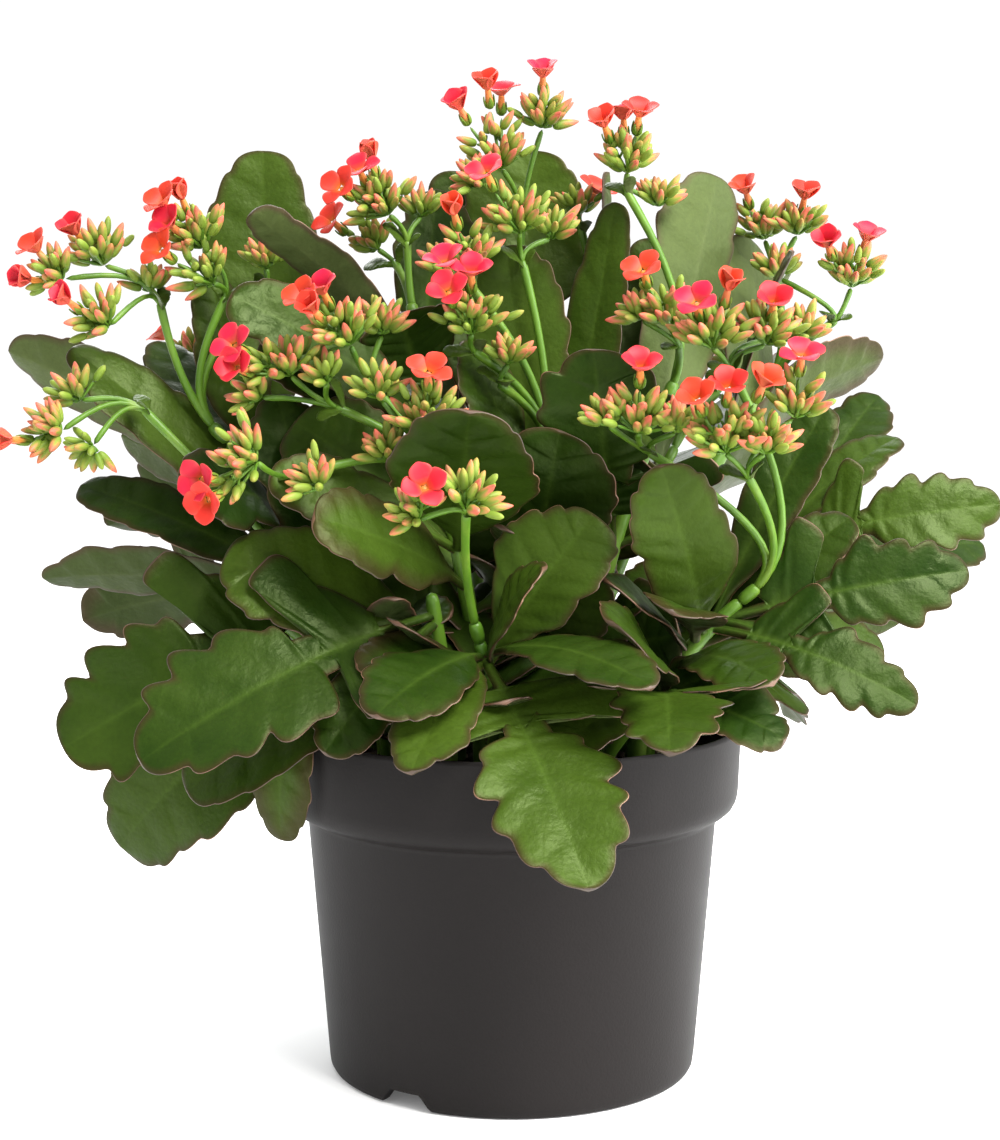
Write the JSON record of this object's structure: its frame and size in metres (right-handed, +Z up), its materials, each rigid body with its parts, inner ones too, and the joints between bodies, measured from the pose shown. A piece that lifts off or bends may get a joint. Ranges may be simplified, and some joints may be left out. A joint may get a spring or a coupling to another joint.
{
  "type": "potted kalanchoe",
  "caption": "Flowering kalanchoe in a round plastic nursery pot: lobed fleshy leaves and domed heads of small coral-red four-petalled flowers and buds, rooted in soil.",
  "frame": {"origin": "centre of the pot's foot, on the surface that the pot stands on", "axes": "+Z up along the pot's axis, -Y towards the front that the picture shows, +X to its right"},
  "size_m": [0.286, 0.2214, 0.2843],
  "materials": {
    "pot": "matte dark brown-grey moulded plastic, slightly lighter where the light grazes it",
    "soil": "dark brown moist potting soil of bark and peat with pale crumbs; wood stands in for it",
    "leaf": "fleshy green leaf with a soft sheen, paler underneath, thin reddish rim; rubber stands in",
    "flower": "soft coral-red petals on light green stalks; fabric stands in for petals and buds"
  },
  "bodies": {
    "root": {"pot": "pot", "soil": "soil", "stem_a": "leaf", "stem_b": "leaf", "stem_c": "leaf", "stem_d": "leaf", "stem_e": "leaf", "stem_f": "leaf", "stem_g": "leaf", "stem_h": "leaf", "stem_i": "leaf", "stem_j": "leaf", "stem_l": "leaf", "stem_m": "leaf", "stem_n": "leaf", "stem_o": "leaf", "stem_p": "leaf", "stem_q": "leaf", "stem_r": "leaf", "stem_s": "leaf", "stem_t": "leaf", "stem_u": "leaf", "stem_v": "leaf", "head_a": "flower", "head_c": "flower", "head_e": "flower", "head_f": "flower", "head_g": "flower", "head_h": "flower", "head_j": "flower", "head_l": "flower", "head_m": "flower", "head_n": "flower", "head_o": "flower", "head_p": "flower", "head_q": "flower", "head_r": "flower", "head_s": "flower", "head_t": "flower"}
  },
  "joints": []
}
